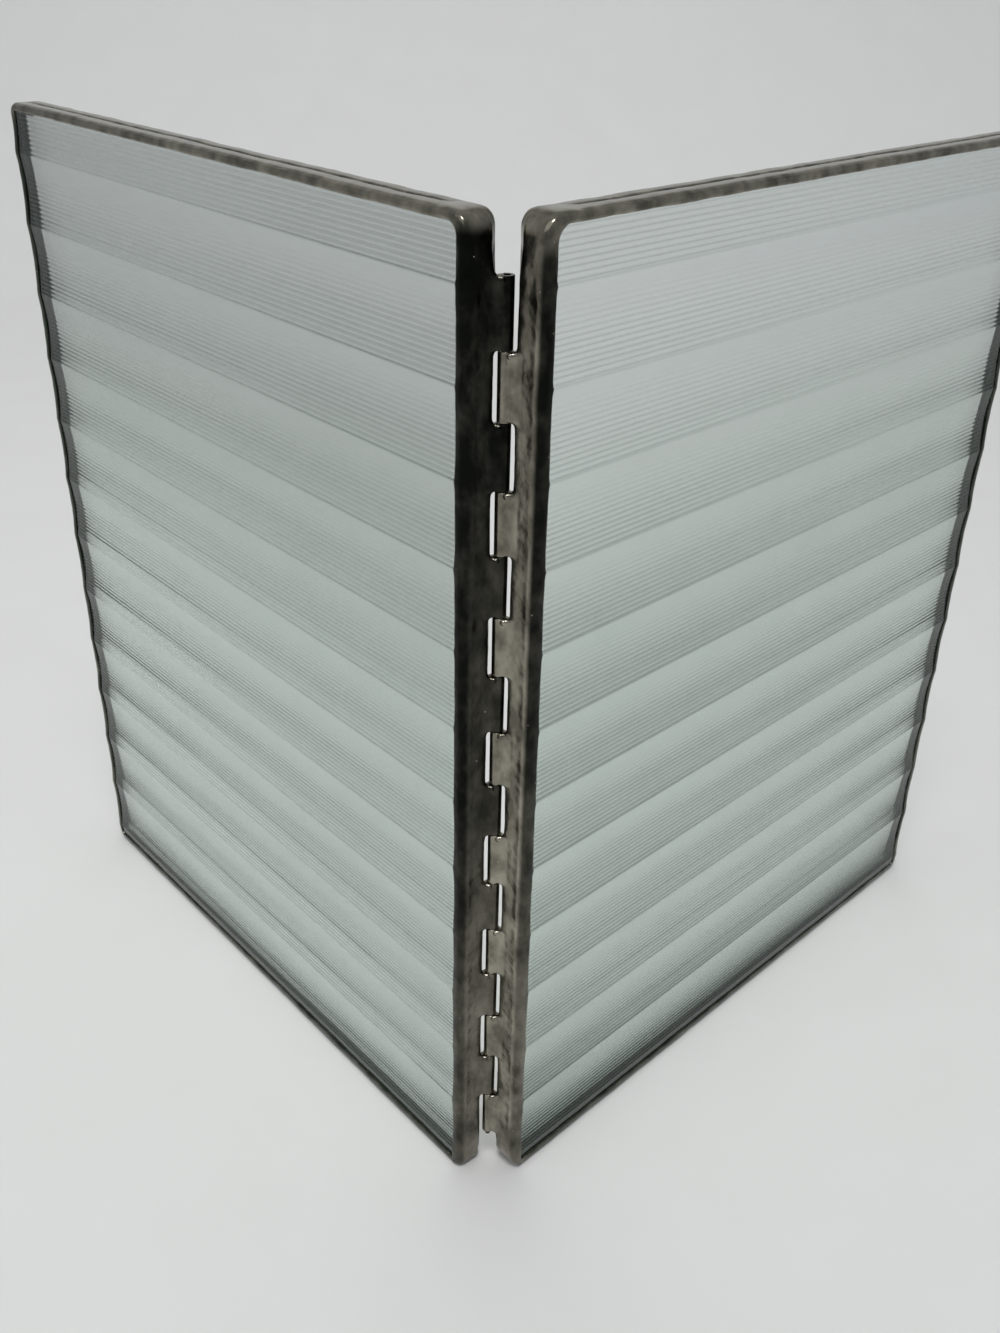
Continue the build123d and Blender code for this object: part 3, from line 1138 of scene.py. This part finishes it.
def spine_solder(side):
    """The bar, wedges, seam and cover of a leaf as one skin of solder."""
    plug = seam_run(side + "_spine_plug", on_spine)
    pieces = [spine_bar(side), knuckle_wedges(side), plug, corner_cover(side)]
    bpy.ops.object.select_all(action="DESELECT")
    for piece in pieces:
        piece.select_set(True)
    spine = pieces[0]
    bpy.context.view_layer.objects.active = spine
    bpy.ops.object.join()
    applied(spine, "REMESH", mode="VOXEL", voxel_size=VOXEL)
    applied(spine, "SMOOTH", factor=0.5, iterations=SKIN_PASSES)
    crown = spine.vertex_groups.new(name="crown")
    for vertex in spine.data.vertices:
        crown.add([vertex.index], eased(vertex.co.z, leaf_top - CROWN_DROP, CROWN_BLEND), "REPLACE")
    applied(spine, "SMOOTH", factor=0.5, iterations=CROWN_PASSES, vertex_group="crown")
    return soldered(spine, side, side + "_spine_seam")


for side in SIDES:
    made = spine_solder(side)
    print(made.name, len(made.data.polygons), "faces")

# %% [markdown]
# ## Hinge leaves
# Each hinge leaf is a strip of thin sheet whose straps are rolled into knuckles round the pin. The end of
# a strap is drawn as a rectangle, pulled up to the pin's height and spun round the pin, not quite full
# circle, so the rolled edge stays open as on the real hinge. Solder tins it, so it takes the same finish.
# A tube would do from afar, but it has no rolled edge.

# %% Hinge leaves
ROLL_TURN = 348
STRAP_ROOT = 2.6
TINNING = 0.08
ARRIS = 0.07
KNUCKLE_TILT = 0.3
TINNING_SIZE, TINNING_LUMPS = 2, 0.04
sheet_face = bed_low.x
barrel = plate_high.x + TINNING


def hinge_strip(side):
    """All the rolled knuckles of a leaf, with their straps."""
    foot = knuckle_foot(side)
    top = foot + knuckle_length - KNUCKLE_GAP
    corners = [(sheet_face, foot), (barrel, foot), (barrel, top), (sheet_face, top)]
    spots = [Vector((along, -STRAP_ROOT, height)) for along, height in corners]
    strip = outline(side + "_hinge_strip", spots)
    bpy.ops.mesh.select_all(action="SELECT")
    pulled((0, STRAP_ROOT, 0))
    bpy.ops.mesh.spin(steps=40, angle=radians(ROLL_TURN), center=(0, 0, 0), axis=(0, 0, 1))
    closed_up()
    applied(strip, "BEVEL", width=ARRIS, segments=3, limit_method="ANGLE", angle_limit=radians(50))
    bpy.ops.object.mode_set(mode="EDIT")
    copied_down()
    # Patina and painted light: darker up the left spine, lighter on faces that look up
    black = strip.data.attributes.new("patina", "FLOAT", "POINT")
    for vertex in strip.data.vertices:
        kept = 1 - lit_from_above(vertex.normal, KNUCKLE_TILT)
        black.data[vertex.index].value = patina(side, 0, 0, vertex.co.z) * kept
    placed(strip, side, side + "_hinge_leaf")
    lumps(strip, "tinning", "GRAYSCALE", TINNING_SIZE, TINNING_LUMPS, "NORMAL")
    smooth(strip, 40)
    strip.data.materials.append(solder)
    return strip


for side in SIDES:
    made = hinge_strip(side)
    print(made.name, len(made.data.polygons), "faces", made.dimensions)

# %% [markdown]
# ## Hinge pin
# The pin is drawn steel wire, dulled with handling. It is sunk into the top knuckle and rounded over below
# the last one, where its end shows. A bare cylinder would end there in a sharp disc, so it is bevelled
# hard at that end and lightly at the other.

# %% Hinge pin
PIN_RADIUS = 0.45
# How far the ends are rounded, as shares of the radius
PIN_ROUNDED, PIN_BROKEN = 0.7, 0.2
# Handling marks on wire are finer than a pixel, so they are drawn as coarse as they need to show
HANDLED = 1.1
pin_low, pin_high = bench_box("hinge_pin")


def wire_material():
    # Dull grey metal, a little patchy where handling has dulled it
    material, tree, place = new_material("drawn_steel_wire")
    marks = node(tree, "ShaderNodeTexNoise", {"Vector": place, "Scale": scale_for(HANDLED), "Detail": 2})
    colour = node(tree, "ShaderNodeMix", {
        "Factor": marks.outputs["Fac"], "A": linear("#3F3C38"), "B": linear("#55524C")}, data_type="RGBA")
    gloss = node(tree, "ShaderNodeMapRange", {"Value": marks.outputs["Fac"], "To Min": 0.3, "To Max": 0.5})
    shader = node(tree, "ShaderNodeBsdfPrincipled", {
        "Base Color": colour.outputs["Result"], "Metallic": 1.0, "Roughness": gloss.outputs["Result"]})
    node(tree, "ShaderNodeOutputMaterial", {"Surface": shader.outputs[0]})
    return material


def pin_wire():
    """The pin, which rides with the left leaf."""
    bpy.ops.object.select_all(action="DESELECT")
    bpy.ops.mesh.primitive_cylinder_add(vertices=32, radius=PIN_RADIUS, depth=pin_high.z - pin_low.z)
    pin = named("hinge_pin_wire")
    pin.data.transform(Matrix.Translation((0, 0, (pin_low.z + pin_high.z) / 2)))
    bpy.ops.object.mode_set(mode="EDIT")
    picked(pin, lambda place: place.z < pin_low.z + HAIR)
    bpy.ops.mesh.bevel(offset=PIN_ROUNDED * PIN_RADIUS, segments=6)
    picked(pin, lambda place: place.z > pin_high.z - HAIR)
    bpy.ops.mesh.bevel(offset=PIN_BROKEN * PIN_RADIUS, segments=2)
    closed_up()
    smooth(pin, 50)
    pin.data.materials.append(wire_material())
    return placed(pin, "left", "hinge_pin")


made = pin_wire()
print(made.name, len(made.data.polygons), "faces")

# %% [markdown]
# ## Foil
# The copper foil stays as it was packed, because only its black backing can be seen, as a dark line
# through the glass. Every CAD node still gets a finish: foil for the foils, and solder for the rest.

# %% Foil, and finishes for the CAD nodes
STREAK = 3.3


def foil_material():
    # Matt black-green, slightly streaked, as adhesive looks through glass
    material, tree, place = new_material("black_backed_copper_foil")
    streaks = node(tree, "ShaderNodeTexNoise", {"Vector": place, "Scale": scale_for(STREAK), "Detail": 3})
    colour = node(tree, "ShaderNodeValToRGB", {"Fac": streaks.outputs["Fac"]})
    colour.color_ramp.elements[0].color = linear("#0E1914")
    colour.color_ramp.elements[1].color = linear("#1B2B23")
    shader = node(tree, "ShaderNodeBsdfPrincipled", {
        "Base Color": colour.outputs["Color"], "Roughness": 0.7, "Specular IOR Level": 0.2})
    node(tree, "ShaderNodeOutputMaterial", {"Surface": shader.outputs[0]})
    return material


foil = foil_material()
for name, cad_node in frame["nodes"].items():
    cad_node.data.materials.clear()
    cad_node.data.materials.append(foil if "foil" in name else solder)
print("finishes on", len(frame["nodes"]), "CAD nodes")

# %% [markdown]
# ## Floor and backdrop
# The frame stands on a pale sheet that curves up behind it, so that no corner shows through the glass.
# A plane's far edge is pulled up into a wall, and the fold is bevelled into a wide curve.

# %% Floor and backdrop
# The room is set out in metres, and only the paper's mottle in millimetres
FLOOR_SIZE = 3.0
WALL_AT = 0.75
WALL_RISE = 1.2
FOLD = 0.3
MOTTLE = 25.0


def paper_material():
    # Matt pale grey, barely mottled, like seamless background paper
    material, tree, place = new_material("matt_backdrop_paper")
    mottle = node(tree, "ShaderNodeTexNoise", {"Vector": place, "Scale": scale_for(MOTTLE), "Detail": 3})
    tone = node(tree, "ShaderNodeValToRGB", {"Fac": mottle.outputs["Fac"]})
    tone.color_ramp.elements[0].color = linear("#CFCFCD")
    tone.color_ramp.elements[1].color = linear("#D4D4D3")
    matt = node(tree, "ShaderNodeBsdfPrincipled", {"Base Color": tone.outputs["Color"], "Roughness": 0.8})
    node(tree, "ShaderNodeOutputMaterial", {"Surface": matt.outputs[0]})
    return material


bpy.ops.object.select_all(action="DESELECT")
bpy.ops.mesh.primitive_plane_add(size=FLOOR_SIZE)
floor = named("floor")
bpy.ops.object.mode_set(mode="EDIT")
picked(floor, lambda place: place.y > 0)
bpy.ops.transform.translate(value=(0, WALL_AT - FLOOR_SIZE / 2, 0))
pulled((0, 0, WALL_RISE))
picked(floor, lambda place: place.y > 0 and place.z < WALL_RISE / 2)
bpy.ops.mesh.bevel(offset=FOLD, segments=12)
bpy.ops.object.mode_set(mode="OBJECT")
smooth(floor, 60)
floor.data.materials.append(paper_material())
print("floor and backdrop:", len(floor.data.polygons), "faces")

# %% [markdown]
# ## Light
# Soft light comes from all round, with a large lamp at the front left for shape and one overhead that
# lights the floor behind the glass. A small, bright lamp high in front puts a spark on the crowns
# and the nubs. The overhead lamp shows no mirror image, which would lie as a hard square on the solder.
# One bare lamp would be simpler, but it would draw hard edges on metal this smooth.

# %% Light
ROOM_LIGHT = 0.66
world = bpy.data.worlds.new("soft_room")
bpy.context.scene.world = world
world.use_nodes = True
world.node_tree.nodes["Background"].inputs["Color"].default_value = linear("#C8CBCE")
world.node_tree.nodes["Background"].inputs["Strength"].default_value = ROOM_LIGHT


def softbox(name, place, target, width, power, mirrored=True):
    """A square lamp aimed at a target, in metres and watts; its mirror image can be hidden."""
    bpy.ops.object.light_add(type="AREA", location=place)
    lamp = bpy.context.active_object
    lamp.name = name
    lamp.data.shape = "SQUARE"
    lamp.data.size = width
    lamp.data.energy = power
    lamp.visible_camera = False
    lamp.visible_glossy = mirrored
    lamp.rotation_euler = (Vector(target) - Vector(place)).to_track_quat("-Z", "Y").to_euler()


softbox("key_light", place=(-0.35, -0.6, 0.9), target=(0, 0, 0.08), width=0.9, power=2.2)
softbox("top_light", place=(-0.1, 0.28, 0.95), target=(0, 0.05, 0), width=0.8, power=3.4, mirrored=False)
softbox("spark", place=(0, -0.35, 1.1), target=(0, -0.04, 0.16), width=0.28, power=4.2)

# %% [markdown]
# ## Camera
# The camera stands close in front of the spine and looks down at it, so the leaves fall away steeply on
# both sides. Its place could be tried by eye, but it was fitted to the corners of the leaves and the ends
# of the knuckles, which also gives its turns and its lens.

# %% Camera
PHOTO_SIZE = (1000, 1333)
FOCAL_PIXELS = 1292.86
SENSOR = 36
NEAREST = 5
YAW, PITCH, ROLL = radians(-1.5715), radians(-29.653), radians(1.356)
camera_at = Vector((4.729, -208.268, 196.193)) * MM
forward = Vector((sin(YAW) * cos(PITCH), cos(YAW) * cos(PITCH), sin(PITCH)))
level = Vector((cos(YAW), -sin(YAW), 0))
upright = level.cross(forward)
right = cos(ROLL) * level + sin(ROLL) * upright
up = cos(ROLL) * upright - sin(ROLL) * level
bpy.ops.object.camera_add()
camera = bpy.context.active_object
camera.name = "camera"
camera.data.sensor_width = SENSOR
camera.data.lens = FOCAL_PIXELS / max(PHOTO_SIZE) * SENSOR
camera.data.clip_start = NEAREST * MM
camera.matrix_world = Matrix.Translation(camera_at) @ Matrix((right, up, -forward)).transposed().to_4x4()
bpy.context.scene.camera = camera
bpy.context.scene.view_settings.view_transform = "Standard"
print("camera at", camera_at, "lens", camera.data.lens)
